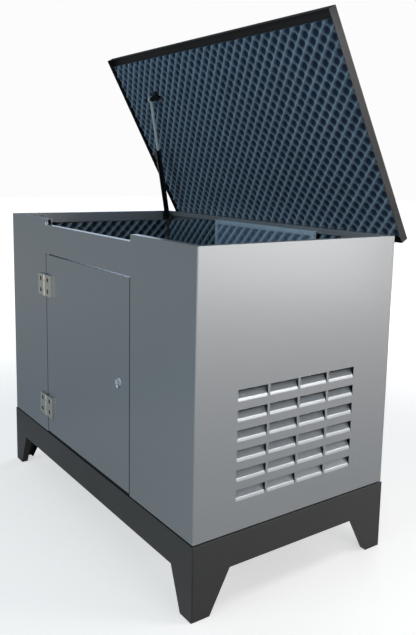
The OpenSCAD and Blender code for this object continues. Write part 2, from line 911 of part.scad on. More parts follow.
front_rail();
rear_rail();
left_rail();
right_rail();
floor_plate();
left_end_wall();
right_end_wall();
rear_wall();
front_left_pillar();
front_right_pillar();
header_panel();
left_end_foam();
right_end_foam();
rear_foam();
front_left_foam();
front_right_foam();
header_foam();
partition_frame();
partition_foam();
door_panel();
door_foam();
lock_body();
lock_cam();
upper_hinge_frame_leaf();
upper_hinge_door_leaf();
upper_hinge_pin();
lower_hinge_frame_leaf();
lower_hinge_door_leaf();
lower_hinge_pin();
lid_panel();
lid_foam();
left_lid_hinge_frame_leaf();
left_lid_hinge_lid_leaf();
left_lid_hinge_pin();
right_lid_hinge_frame_leaf();
right_lid_hinge_lid_leaf();
right_lid_hinge_pin();
strut_lower_bracket();
strut_cylinder();
strut_rod();
strut_upper_bracket();
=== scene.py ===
"""Looks of a gas generator set: sheet housing on legs, foam linings, hinged lid and door, gas strut."""

import json
import logging
import math
from dataclasses import dataclass
from enum import Enum

import bmesh
import bpy
import numpy as np
from mathutils import Matrix, Vector


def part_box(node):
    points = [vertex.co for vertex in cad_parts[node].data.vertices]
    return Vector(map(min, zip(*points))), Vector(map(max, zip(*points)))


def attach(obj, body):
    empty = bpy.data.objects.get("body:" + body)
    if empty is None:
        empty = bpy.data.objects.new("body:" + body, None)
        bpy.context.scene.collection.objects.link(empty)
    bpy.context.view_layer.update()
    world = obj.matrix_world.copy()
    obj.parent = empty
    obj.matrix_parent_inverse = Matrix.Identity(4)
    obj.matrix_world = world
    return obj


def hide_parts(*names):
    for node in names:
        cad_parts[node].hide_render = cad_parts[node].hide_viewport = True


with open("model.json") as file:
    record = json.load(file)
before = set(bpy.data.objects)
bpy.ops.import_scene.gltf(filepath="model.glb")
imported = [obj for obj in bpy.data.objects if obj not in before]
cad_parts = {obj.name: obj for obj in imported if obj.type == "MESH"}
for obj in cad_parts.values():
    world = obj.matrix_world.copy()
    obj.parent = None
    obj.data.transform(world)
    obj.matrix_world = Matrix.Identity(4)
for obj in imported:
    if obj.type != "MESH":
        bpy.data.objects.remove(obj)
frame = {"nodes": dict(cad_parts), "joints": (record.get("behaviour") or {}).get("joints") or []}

log = logging.getLogger("generator_set")
logging.basicConfig(level=logging.INFO, format="%(message)s")

Point = tuple[float, float, float]
Pair = tuple[float, float]
Box = tuple[np.ndarray, np.ndarray]

MM = 0.001
MERGE = 2e-6  # points of a solid that lie closer than this, in metres, become one
FLAT = math.radians(0.6)  # faces that bend by less are joined into one
SHARP = math.radians(30)  # edges of a folded piece that bend by more are rounded
CREASE = math.radians(38)  # edges of a turned piece that bend by more stay crisp


# ---------- small tools ----------


def linear(code: str) -> tuple[float, float, float, float]:
    """Turns an sRGB hex colour into linear RGBA.

    Args:
        code: The colour as #rrggbb.

    Returns:
        Red, green, blue and an alpha of 1, all linear.
    """
    parts = [int(code[i : i + 2], 16) / 255 for i in (1, 3, 5)]
    out = [c / 12.92 if c <= 0.04045 else ((c + 0.055) / 1.055) ** 2.4 for c in parts]
    return (out[0], out[1], out[2], 1.0)


def add_node(
    tree: bpy.types.NodeTree,
    kind: str,
    values: dict | None = None,
    feeds: dict | None = None,
    **settings: object,
) -> bpy.types.Node:
    """Adds one shader node with its settings, socket values and incoming links.

    Args:
        tree: The node tree that takes the node.
        kind: The node's type name.
        values: Socket name or number to the value set on it.
        feeds: Socket name or number to the output that is linked into it.
        **settings: Properties of the node itself.

    Returns:
        The new node.
    """
    made = tree.nodes.new(kind)
    for key, value in settings.items():
        setattr(made, key, value)
    for key, value in (values or {}).items():
        made.inputs[key].default_value = value
    for key, source in (feeds or {}).items():
        tree.links.new(source, made.inputs[key])
    return made


def read_points(mesh: bpy.types.Mesh) -> np.ndarray:
    """Reads the points of a mesh.

    Args:
        mesh: The mesh.

    Returns:
        N by 3 array in metres.
    """
    flat = np.zeros(len(mesh.vertices) * 3, np.float32)
    mesh.vertices.foreach_get("co", flat)
    return flat.reshape(-1, 3).astype(float)


def box_of(node: str) -> Box:
    """Returns the lowest and the highest corner of a solid, in metres."""
    low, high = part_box(node)
    return np.array(low), np.array(high)


def mesh_object(
    name: str,
    points: np.ndarray,
    faces: np.ndarray | list,
    smooth: np.ndarray | bool = True,
) -> bpy.types.Object:
    """Makes an object at the origin from points in metres and faces.

    Args:
        name: Name of the piece.
        points: N by 3 array in the shared frame.
        faces: Rows of point numbers.
        smooth: Whether all faces, or each one, are shaded smooth.

    Returns:
        The linked object.
    """
    mesh = bpy.data.meshes.new(name)
    rows = faces.tolist() if isinstance(faces, np.ndarray) else faces
    mesh.from_pydata(points.tolist(), [], rows)
    flags = np.broadcast_to(np.asarray(smooth, bool), (len(rows),))
    mesh.polygons.foreach_set("use_smooth", flags.copy())
    mesh.update()
    made = bpy.data.objects.new(name, mesh)
    bpy.context.scene.collection.objects.link(made)
    return made


def dress(
    piece: bpy.types.Object,
    finish: "Finish",
    body: "Body",
    *nodes: str,
) -> bpy.types.Object:
    """Gives a piece its finish and body, and hides the solids that it stands for.

    Args:
        piece: The piece.
        finish: The finish it wears.
        body: The body it rides on.
        *nodes: Solids that it replaces.

    Returns:
        The same piece.
    """
    piece.data.materials.clear()
    piece.data.materials.append(finish.material())
    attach(piece, body.value)
    if nodes:
        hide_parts(*nodes)
    log.info("%s: %s, %d faces", piece.name, finish.name, len(piece.data.polygons))
    return piece


def formed(node: str, edge: float) -> bpy.types.Object:
    """Copies a solid with its points merged and its flat faces joined, and rounds its edges.

    Args:
        node: The solid to copy.
        edge: Radius of the rounded edges in metres.

    Returns:
        The copy, with a Bevel modifier and normals that follow the larger faces.
    """
    work = bmesh.new()
    work.from_mesh(frame["nodes"][node].data)
    bmesh.ops.remove_doubles(work, verts=work.verts, dist=MERGE)
    bmesh.ops.dissolve_limit(work, angle_limit=FLAT, verts=work.verts, edges=work.edges)
    for face in work.faces:
        face.smooth = True
    mesh = bpy.data.meshes.new(node + "_formed")
    work.to_mesh(mesh)
    work.free()
    made = bpy.data.objects.new(mesh.name, mesh)
    bpy.context.scene.collection.objects.link(made)
    bevel = made.modifiers.new("rounded edges", "BEVEL")
    bevel.width = edge
    bevel.segments = 2
    bevel.limit_method = "ANGLE"
    bevel.angle_limit = SHARP
    even = made.modifiers.new("flat faces stay flat", "WEIGHTED_NORMAL")
    even.mode = "FACE_AREA"
    even.weight = 60
    return made


def ring_faces(rings: int, around: int) -> np.ndarray:
    """Quads of a tube whose points stand in rings.

    Point j of ring i has the number i * around + j. Each quad joins points j and j + 1 of a ring to those
    of the next ring, and the last point of a ring is followed by its first.

    Args:
        rings: Number of rings.
        around: Number of points on each ring.

    Returns:
        Four point numbers for each quad.
    """
    i, j = np.meshgrid(np.arange(rings - 1) * around, np.arange(around), indexing="ij")
    after = (j + 1) % around
    return np.stack([i + j, i + after, i + around + after, i + around + j], -1).reshape(-1, 4)


def turned(
    name: str, profile: list[tuple[float, float]], at: Point, along: Point, around: int
) -> bpy.types.Object:
    """Turned piece: a profile of radius and distance carried round an axis.

    Point j of ring i stands at the axis point of profile row i, moved out by its radius in the direction
    at angle j of a full turn. The first and the last row have no radius and become single poles.

    Args:
        name: Name of the piece.
        profile: Rows of radius and distance along the axis, in metres, from one pole to the other.
        at: Origin of the axis.
        along: Direction of the axis.
        around: Points round the axis.

    Returns:
        The object.
    """
    axis = Vector(along).normalized()
    side = axis.orthogonal().normalized()
    across = axis.cross(side)
    angle = np.linspace(0, 2 * math.pi, around, endpoint=False)
    ring = np.cos(angle)[:, None] * np.array(side) + np.sin(angle)[:, None] * np.array(across)
    radius, distance = np.array(profile).T
    middle = np.array(at) + distance[:, None] * np.array(axis)
    wall = (middle[1:-1, None] + radius[1:-1, None, None] * ring).reshape(-1, 3)
    points = np.concatenate([wall, middle[[0, -1]]])
    j = np.arange(around)
    after = (j + 1) % around
    last_ring = len(wall) - around
    caps = [
        np.stack([np.full(around, len(wall)), after, j], -1),
        np.stack([np.full(around, len(wall) + 1), last_ring + j, last_ring + after], -1),
    ]
    quads = ring_faces(len(profile) - 2, around)
    made = mesh_object(name, points, quads.tolist() + np.concatenate(caps).tolist())
    work = bmesh.new()
    work.from_mesh(made.data)
    bmesh.ops.recalc_face_normals(work, faces=work.faces)
    for edge in work.edges:
        edge.smooth = edge.calc_face_angle(0.0) < CREASE
    work.to_mesh(made.data)
    work.free()
    return made


# ---------- named choices ----------


class Body(Enum):
    """Bodies of the moving model."""

    SHELL = "shell"
    DOOR = "door"
    LID = "lid"
    STRUT_TUBE = "strut_tube"
    STRUT_PISTON = "strut_piston"


class Slot(Enum):
    """Material slots of the record."""

    PANEL_PAINT = "panel_paint"
    BASE_PAINT = "base_paint"
    LID_PAINT = "lid_paint"
    FOAM = "foam"
    PANEL_FOAM = "panel_foam"
    GALVANISED = "galvanised"
    HINGE_CAST = "hinge_cast"
    ZINC = "zinc"
    LOCK_CHROME = "lock_chrome"
    STRUT_BLACK = "strut_black"
    BRACKET_BLACK = "bracket_black"
    ROD_CHROME = "rod_chrome"


class Grain(Enum):
    """How a bare metal surface was made."""

    BLASTED = "blasted"
    PLATED = "plated"
    SPANGLED = "spangled"
    POLISHED = "polished"


# ---------- finishes ----------


@dataclass(frozen=True)
class Surface:
    """A surface of its own name. Each kind makes its own shader."""

    name: str

    def material(self) -> bpy.types.Material:
        """Makes the material when it is first asked for.

        Returns:
            The material, one for each name.
        """
        made = bpy.data.materials.get(self.name)
        if made is None:
            made = bpy.data.materials.new(self.name)
            made.use_nodes = True
            tree = made.node_tree
            tree.nodes.clear()
            where = add_node(tree, "ShaderNodeTexCoord").outputs["Object"]
            add_node(tree, "ShaderNodeOutputMaterial", feeds={"Surface": self.shade(tree, where)})
        return made

    def shade(self, tree: bpy.types.NodeTree, where: bpy.types.NodeSocket) -> bpy.types.NodeSocket:
        """Makes the shader.

        Args:
            tree: Node tree that takes the nodes.
            where: Place on the piece, in metres.

        Returns:
            The shader's output.
        """
        raise NotImplementedError


@dataclass(frozen=True)
class Finish(Surface):
    """A surface of the real object, in one of the record's material slots."""

    slot: Slot


@dataclass(frozen=True)
class BakedCoat(Finish):
    """Paint baked on steel, which flows into a film with a faint orange peel.

    The peel breaks highlights softly. Its waves are 1 to 3 mm long on the real film and are drawn at 5 mm
    so that they show.
    """

    colour: str
    roughness: float
    peel: float = 5 * MM
    peel_height: float = 0.012 * MM

    def peeled(self, tree: bpy.types.NodeTree, where: bpy.types.NodeSocket) -> bpy.types.NodeSocket:
        """Bumps the film by a fine noise.

        Args:
            tree: Node tree that takes the nodes.
            where: Place on the piece, in metres.

        Returns:
            The bumped normal.
        """
        waves = add_node(
            tree, "ShaderNodeTexNoise", {"Scale": 1 / self.peel, "Detail": 2.0}, {"Vector": where}
        )
        bump = add_node(
            tree,
            "ShaderNodeBump",
            {"Strength": 0.5, "Distance": self.peel_height},
            {"Height": waves.outputs["Fac"]},
        )
        return bump.outputs[0]


@dataclass(frozen=True, kw_only=True)
class FlakeCoat(BakedCoat):
    """Silver powder coat with aluminium flake, laid on evenly.

    The eye sees one silver grey without spots, which turns from bright to dark with its surroundings,
    because the share of flake mirrors them.
    """

    flake: float

    def shade(self, tree: bpy.types.NodeTree, where: bpy.types.NodeSocket) -> bpy.types.NodeSocket:
        """Gives the whole film one colour, one roughness and one share of flake.

        Args:
            tree: Node tree that takes the nodes.
            where: Place on the piece, in metres.

        Returns:
            The shader's output.
        """
        skin = add_node(
            tree,
            "ShaderNodeBsdfPrincipled",
            {
                "Base Color": linear(self.colour),
                "Metallic": self.flake,
                "Roughness": self.roughness,
                "IOR": 1.5,
            },
            {"Normal": self.peeled(tree, where)},
        )
        return skin.outputs[0]


@dataclass(frozen=True, kw_only=True)
class PlainCoat(BakedCoat):
    """Dark paint without flake: powder coat, dipped primer or sprayed enamel.

    The eye sees a colour and a gloss that drift a little over a palm's width.
    """

    drift_colour: str
    drift: float = 180 * MM
    wander: float = 0.035

    def shade(self, tree: bpy.types.NodeTree, where: bpy.types.NodeSocket) -> bpy.types.NodeSocket:
        """Mixes two close tones and two close degrees of gloss by a slow noise.

        Args:
            tree: Node tree that takes the nodes.
            where: Place on the piece, in metres.

        Returns:
            The shader's output.
        """
        slow = add_node(
            tree, "ShaderNodeTexNoise", {"Scale": 1 / self.drift, "Detail": 1.0}, {"Vector": where}
        )
        spread = add_node(
            tree, "ShaderNodeMapRange", {"From Min": 0.2, "From Max": 0.8}, {"Value": slow.outputs["Fac"]}
        )
        tone = add_node(
            tree,
            "ShaderNodeMix",
            {6: linear(self.colour), 7: linear(self.drift_colour)},
            {0: spread.outputs[0]},
            data_type="RGBA",
        )
        rough = add_node(
            tree,
            "ShaderNodeMapRange",
            {"To Min": self.roughness - self.wander, "To Max": self.roughness + self.wander},
            {"Value": spread.outputs[0]},
        )
        skin = add_node(
            tree,
            "ShaderNodeBsdfPrincipled",
            {"IOR": 1.5},
            {
                "Base Color": tone.outputs[2],
                "Roughness": rough.outputs[0],
                "Normal": self.peeled(tree, where),
            },
        )
        return skin.outputs[0]


@dataclass(frozen=True)
class OpenCellFoam(Finish):
    """Polyether foam, convoluted by cutting: dull blue, with painted shade darkening the pits below paler
    crests.

    The eye sees no gloss at all, a soft bloom at a slant, and a grain of open cells. Cells are 0.5 to 1 mm
    and are drawn at 3 mm so that they show. The darker pit colour is painted shade: it holds up to the
    height low of the relief, and the crest's colour is reached at its top. Patches a palm wide are a little
    darker or paler.
    """

    crest: str
    pit: str
    low: float
    cell: float = 3 * MM
    cell_depth: float = 0.6 * MM
    patch: float = 90 * MM

    def shade(self, tree: bpy.types.NodeTree, where: bpy.types.NodeSocket) -> bpy.types.NodeSocket:
        """Mixes pit and crest colour by the piece's own relief as painted shade, with a cell grain in
        colour and bump.

        Args:
            tree: Node tree that takes the nodes.
            where: Place on the piece, in metres.

        Returns:
            The shader's output.
        """
        relief = add_node(tree, "ShaderNodeAttribute", attribute_name="relief").outputs["Fac"]
        cells = add_node(tree, "ShaderNodeTexVoronoi", {"Scale": 1 / self.cell}, {"Vector": where})
        slow = add_node(
            tree, "ShaderNodeTexNoise", {"Scale": 1 / self.patch, "Detail": 4.0}, {"Vector": where}
        )
        # Painted shade: the dark pit colour fills the low parts of the relief.
        height = add_node(tree, "ShaderNodeMapRange", {"From Min": self.low}, {"Value": relief})
        body = add_node(
            tree,
            "ShaderNodeMix",
            {6: linear(self.pit), 7: linear(self.crest)},
            {0: height.outputs[0]},
            data_type="RGBA",
        )
        grain = add_node(
            tree,
            "ShaderNodeMapRange",
            {"From Max": 0.7, "To Min": 0.78, "To Max": 1.12},
            {"Value": cells.outputs["Distance"]},
        )
        patches = add_node(
            tree,
            "ShaderNodeMapRange",
            {"From Min": 0.3, "From Max": 0.7, "To Min": 0.9, "To Max": 1.1},
            {"Value": slow.outputs["Fac"]},
        )
        both = add_node(
            tree, "ShaderNodeMath", feeds={0: grain.outputs[0], 1: patches.outputs[0]}, operation="MULTIPLY"
        )
        tinted = add_node(
            tree,
            "ShaderNodeVectorMath",
            feeds={0: body.outputs[2], "Scale": both.outputs[0]},
            operation="SCALE",
        )
        bump = add_node(
            tree,
            "ShaderNodeBump",
            {"Strength": 0.6, "Distance": self.cell_depth},
            {"Height": cells.outputs["Distance"]},
        )
        skin = add_node(
            tree,
            "ShaderNodeBsdfPrincipled",
            {"Roughness": 0.95, "IOR": 1.3, "Sheen Weight": 0.12, "Sheen Roughness": 0.6},
            {"Base Color": tinted.outputs[0], "Normal": bump.outputs[0]},
        )
        return skin.outputs[0]


@dataclass(frozen=True)
class BareMetal(Finish):
    """Bare or plated metal, by the grain that its making left.

    The eye sees a matt and sandy face on blasted castings, a few cloudy spots on plated steel, dulled
    spangles on weathered galvanised sheet, and soft, bright reflections on satin chrome. A weathered or
    hazy face is only partly metallic. dark is the share of its colour that the darker grain keeps.
    """

    colour: str
    roughness: float
    grain: Grain
    size: float
    depth: float = 0.05 * MM
    metallic: float = 1.0
    dark: float = 0.86

    @property
    def spread(self) -> float:
        """How far the roughness strays from its mean, which is little where the face was polished."""
        return 0.02 if self.grain is Grain.POLISHED else 0.09

    def shade(self, tree: bpy.types.NodeTree, where: bpy.types.NodeSocket) -> bpy.types.NodeSocket:
        """Varies colour, roughness and bump by a cell or cloud pattern of the grain's size.

        Args:
            tree: Node tree that takes the nodes.
            where: Place on the piece, in metres.

        Returns:
            The shader's output.
        """
        if self.grain is Grain.SPANGLED:
            pattern = add_node(
                tree, "ShaderNodeTexVoronoi", {"Scale": 1 / self.size}, {"Vector": where}
            ).outputs["Color"]
        else:
            pattern = add_node(
                tree, "ShaderNodeTexNoise", {"Scale": 1 / self.size, "Detail": 3.0}, {"Vector": where}
            ).outputs["Fac"]
        rough = add_node(
            tree,
            "ShaderNodeMapRange",
            {
                "From Min": 0.25,
                "From Max": 0.75,
                "To Min": self.roughness - self.spread,
                "To Max": self.roughness + self.spread,
            },
            {"Value": pattern},
        )
        bright = linear(self.colour)
        deep = tuple(c * self.dark for c in bright[:3]) + (1.0,)
        share = add_node(tree, "ShaderNodeMapRange", {"From Min": 0.3, "From Max": 0.7}, {"Value": pattern})
        tone = add_node(
            tree, "ShaderNodeMix", {6: deep, 7: bright}, {0: share.outputs[0]}, data_type="RGBA"
        )
        bump = add_node(
            tree, "ShaderNodeBump", {"Strength": 0.4, "Distance": self.depth}, {"Height": pattern}
        )
        skin = add_node(
            tree,
            "ShaderNodeBsdfPrincipled",
            {"Metallic": self.metallic},
            {"Base Color": tone.outputs[2], "Roughness": rough.outputs[0], "Normal": bump.outputs[0]},
        )
        return skin.outputs[0]


# Silver coat with flake: the walls shade softly from bright at the top to mid-grey below.
PANEL_PAINT = FlakeCoat("powder_coat_silver_grey", Slot.PANEL_PAINT, "#a2a4a6", 0.26, flake=0.55)
# Plain anthracite coat: dark grey, with a dim, soft sheen on the legs.
BASE_PAINT = PlainCoat(
    "powder_coat_anthracite_base", Slot.BASE_PAINT, "#373634", 0.32, drift_colour="#333230"
)
# The same kind of coat, darker and rougher: the lid's rim is a near-black line with hardly a highlight.
LID_PAINT = PlainCoat(
    "powder_coat_anthracite_lid", Slot.LID_PAINT, "#0f0e0e", 0.62, drift_colour="#0d0c0c"
)
# Dipped coat: an even black that gleams dully along its bends.
BRACKET_PAINT = PlainCoat(
    "electrocoat_black_bracket", Slot.BRACKET_BLACK, "#151617", 0.4, drift_colour="#111213"
)
# Sprayed enamel: black with a narrow highlight along the tube.
STRUT_PAINT = PlainCoat("enamel_black_strut", Slot.STRUT_BLACK, "#0b0b0c", 0.25, drift_colour="#09090a")
# Slate-blue foam, painted darker for the walls' shade: dark pits, also painted shade, between paler crests.
LINING_FOAM = OpenCellFoam("convoluted_polyether_foam", Slot.FOAM, "#9fb4c4", "#202b38", 0.2)
# The same foam in the open lid, with paler colours that paint the light that reaches the pits there.
LID_FOAM = OpenCellFoam("convoluted_polyether_foam_lid", Slot.FOAM, "#b0c2d0", "#2a364c", 0.25)
# Shallow foam board: a lighter blue that changes little from pit to crest; its darker pit colour is painted
# shade.
BOARD_FOAM = OpenCellFoam("convoluted_foam_board", Slot.PANEL_FOAM, "#b4c4d6", "#41546c", 0.0)
# Zinc coat gone dull: a pale blue-grey frame with faint spangles.
EDGING = BareMetal(
    "weathered_galvanised_edging", Slot.GALVANISED, "#c6d4e2", 0.5, Grain.SPANGLED, 9 * MM, 0.0, 0.35
)
# Sand-blasted casting: warm, bright and grainy.
HINGE_METAL = BareMetal(
    "blasted_zinc_casting", Slot.HINGE_CAST, "#dcdbd2", 0.3, Grain.BLASTED, 1.5 * MM, 0.06 * MM
)
# Bright zinc plate: a mid-grey gleam on pins, screws and the cam.
PLATED_STEEL = BareMetal("zinc_plated_steel", Slot.ZINC, "#a8aaac", 0.33, Grain.PLATED, 6 * MM)
# Satin chrome: the lock is the brightest spot on the door, with soft edges to its reflections.
LOCK_CHROME = BareMetal(
    "satin_chrome_lock", Slot.LOCK_CHROME, "#f6f7f8", 0.25, Grain.POLISHED, 4 * MM, 0.005 * MM, 0.35
)
# Ground and chromed rod: a pale streak along its length.
ROD_CHROME = BareMetal(
    "satin_ground_chrome_rod", Slot.ROD_CHROME, "#f2f4f5", 0.3, Grain.POLISHED, 2 * MM, 0.005 * MM, 0.35
)


# ---------- convoluted foam ----------


@dataclass(frozen=True)
class Crests:
    """Relief of convoluted foam: two families of crests that cross at 45 degrees to the sheet's edges.

    pitch is the distance between the crests of a family and depth the fall from crest to pit. A sharp
    below 1 narrows the crests. saddle is the share of the depth by which the second family dips between
    crossings, and lean, 1 or -1, says which way the first one slants. steps is the number of grid cells
    from one crossing to the next along an edge.
    """

    pitch: float = 40 * MM
    depth: float = 22 * MM
    sharp: float = 0.7
    saddle: float = 0.3
    lean: int = 1
    steps: int = 8

    @property
    def step(self) -> float:
        """Spacing of the grid, which puts points on every crest."""
        return self.pitch * math.sqrt(2) / self.steps

    def height(self, s: np.ndarray, t: np.ndarray) -> np.ndarray:
        """Height of the relief.

        With u and v the places turned by 45 degrees, a and b are the sines of u and v over one pitch,
        without their signs and raised to the power sharp. The height is 1 less a times c, where c runs from
        saddle to 1 as b runs from 0 to 1. So it stays 1 along the first family, where a is 0, and dips by
        up to saddle along the second, where b is 0.

        Args:
            s: Places along the first edge, in metres.
            t: Places along the second edge.

        Returns:
            Heights from 0 in a pit to 1 on a crest.
        """
        u, v = (s + self.lean * t) / math.sqrt(2), (s - self.lean * t) / math.sqrt(2)
        a = np.abs(np.sin(math.pi * u / self.pitch)) ** self.sharp
        b = np.abs(np.sin(math.pi * v / self.pitch)) ** self.sharp
        return 1 - a * (self.saddle + (1 - self.saddle) * b)


@dataclass(frozen=True)
class Hinged:
    """The lid's hinge line, about which a closed shape is turned to its raised place."""

    pivot: Point
    degrees: float

    def turned_by(self, points: np.ndarray, degrees: float) -> np.ndarray:
        """Turns points about the hinge line, positive from raised to closed.

        Args:
            points: N by 3 array in metres.
            degrees: Angle of the turn.

        Returns:
            The turned points.
        """
        turn = np.array(Matrix.Rotation(math.radians(degrees), 3, Vector((1, 0, 0))))
        return (points - np.array(self.pivot)) @ turn.T + np.array(self.pivot)

    def raised(self, points: np.ndarray) -> np.ndarray:
        """Turns points of the closed lid to the raised lid."""
        return self.turned_by(points, -self.degrees)

    def closed_box(self, node: str) -> Box:
        """Returns the lowest and the highest corner of a solid of the lid, as it lies when closed."""
        points = self.turned_by(read_points(frame["nodes"][node].data), self.degrees)
        return points.min(0), points.max(0)


def lid_hinge() -> Hinged:
    """Reads the lid's hinge line and raised angle from the record."""
    joint = next(j for j in frame["joints"] if j["name"] == "lid_hinge")
    return Hinged(tuple(joint["pos_m"]), max(abs(a) for a in joint["range_deg"]))


@dataclass(frozen=True)
class Sheet:
    """A cut sheet of convoluted foam on a flat backing.

    s and t are directions along the backing and n points from the backing to the crests, with n the cross
    product of s and t. Each hole is given by the s and t of two corners. Within margin of its edges the
    sheet has its full thickness. Beside the corner at s = 0 the top edge is lower by the second measure of
    low_corner, and it rises to the full height over the first.
    """

    origin: Point
    s: Point
    t: Point
    width: float
    height: float
    thick: float
    crests: Crests
    holes: tuple[tuple[float, float, float, float], ...] = ()
    low_corner: tuple[float, float] = (0.0, 0.0)
    margin: float = 0.0
    back_relief: float = 0.35
    least_cell: float = 0.3 * MM

    @classmethod
    def filling(cls, box: Box, s: Point, t: Point, crests: Crests, **more: object) -> "Sheet":
        """Fits a sheet into a box.

        Each of s, t and n runs along one axis of the frame, and the origin is the corner from which all
        three point into the box.

        Args:
            box: Lowest and highest corner of the box.
            s: First direction along the sheet.
            t: Second direction along the sheet.
            crests: Relief of the sheet.
            **more: Holes, low_corner or margin.

        Returns:
            The sheet.
        """
        low, high = box
        ways = [np.array(s, float), np.array(t, float), np.cross(s, t).astype(float)]
        origin = np.where(sum(ways) > 0, low, high)
        width, height, thick = (float(abs((high - low) @ way)) for way in ways)
        return cls(tuple(origin), s, t, width, height, thick, crests, **more)

    def _lines(self, length: float, start: float, cuts: list[float]) -> np.ndarray:
        """Places grid lines on the crest grid, at both ends and at the cuts, none closer than least_cell.

        Args:
            length: Length of the sheet along the lines' own direction.
            start: Place of the sheet's edge, from which the crest grid is counted.
            cuts: Edges of holes.

        Returns:
            Distances from the sheet's edge, rising.
        """
        step = self.crests.step
        first = (math.floor(start / step) + 1) * step - start
        lines = np.concatenate([[0, length], np.arange(first, length, step), np.array(cuts, float)])
        lines = np.unique(np.round(lines, 6))
        wide = np.concatenate([[True], np.diff(lines) > self.least_cell])
        return lines[wide]

    def build(self, name: str, place: Hinged | None = None) -> bpy.types.Object:
        """Makes the sheet as one closed mesh.

        The front layer stands at thick less depth times (1 less the crest height) over the backing, the
        back layer on the backing, and walls join them round the edge and round each hole.

        Args:
            name: Name of the piece.
            place: Turns the sheet from the closed lid to the raised one, or None.

        Returns:
            The piece, with its relief from 0 to 1 stored on its points.
        """
        s_dir, t_dir = np.array(self.s, float), np.array(self.t, float)
        n_dir = np.cross(s_dir, t_dir)
        origin = np.array(self.origin, float)
        s0, t0 = float(origin @ s_dir), float(origin @ t_dir)
        s = self._lines(self.width, s0, [c for h in self.holes for c in (h[0], h[2])])
        t = self._lines(self.height, t0, [c for h in self.holes for c in (h[1], h[3])])
        gs, gt = np.meshgrid(s, t, indexing="ij")
        slope, drop = self.low_corner
        if slope > 0:
            gt = gt * (1 - drop * np.clip(1 - gs / slope, 0, 1) / self.height)
        rise = self.crests.height(gs + s0, gt + t0)
        if self.margin > 0:
            inside = np.minimum.reduce([gs, self.width - gs, gt, self.height - gt])
            rise = np.where(inside < self.margin, 1.0, rise)
        back = origin + gs[..., None] * s_dir + gt[..., None] * t_dir
        level = self.thick - self.crests.depth * (1 - rise)
        front = back + level[..., None] * n_dir
        keep = np.ones((len(s) - 1, len(t) - 1), bool)
        mid_s, mid_t = (s[1:] + s[:-1]) / 2, (t[1:] + t[:-1]) / 2
        for x0, y0, x1, y1 in self.holes:
            keep &= ~(((mid_s > x0) & (mid_s < x1))[:, None] & ((mid_t > y0) & (mid_t < y1))[None])
        faces, fronts = self._faces(keep)
        used, numbers = np.unique(faces, return_inverse=True)
        points = np.concatenate([front.reshape(-1, 3), back.reshape(-1, 3)])[used]
        relief = np.concatenate([rise.ravel(), np.full(rise.size, self.back_relief)])[used]
        if place is not None:
            points = place.raised(points)
        smooth = np.arange(len(faces)) < fronts
        made = mesh_object(name, points, numbers.reshape(faces.shape), smooth)
        layer = made.data.attributes.new("relief", "FLOAT", "POINT")
        layer.data.foreach_set("value", relief.astype(np.float32))
        return made

    @staticmethod
    def _faces(keep: np.ndarray) -> tuple[np.ndarray, int]:
        """Joins the two layers of points to a closed skin.

        A wall stands between two neighbouring cells where one is kept and the other is cut away or lies
        outside the grid, and its quads turn round with the side on which the kept cell lies.

        Args:
            keep: Whether each cell of the grid is part of the sheet.

        Returns:
            Quads of the front, the back and the walls, and how many are on the front.
        """
        ns, nt = keep.shape[0] + 1, keep.shape[1] + 1
        number = np.arange(ns * nt).reshape(ns, nt)
        under = number + ns * nt
        a, b, c, d = number[:-1, :-1], number[1:, :-1], number[1:, 1:], number[:-1, 1:]
        top = np.stack([a, b, c, d], -1)[keep]
        low = np.stack([a, d, c, b], -1)[keep] + ns * nt
        padded = np.pad(keep, 1)
        here, before = padded[1:, 1:-1], padded[:-1, 1:-1]
        wall = np.stack([number[:, :-1], under[:, :-1], under[:, 1:], number[:, 1:]], -1)
        walls = [wall[before & ~here], wall[here & ~before][:, ::-1]]
        here, before = padded[1:-1, 1:], padded[1:-1, :-1]
        wall = np.stack([number[:-1, :], number[1:, :], under[1:, :], under[:-1, :]], -1)
        walls += [wall[before & ~here], wall[here & ~before][:, ::-1]]
        return np.concatenate([top, low, *walls]), len(top)


# ---------- sub-assemblies ----------


@dataclass
class Base:
    """Rails with tapered legs, and the floor plate that they carry."""

    edge: float = 1.8 * MM
    plates: tuple[str, ...] = ("front_rail", "rear_rail", "left_rail", "right_rail", "floor_plate")

    def build(self) -> None:
        """Makes the rails and the plate with rounded, painted edges."""
        for node in self.plates:
            dress(formed(node, self.edge), BASE_PAINT, Body.SHELL, node)


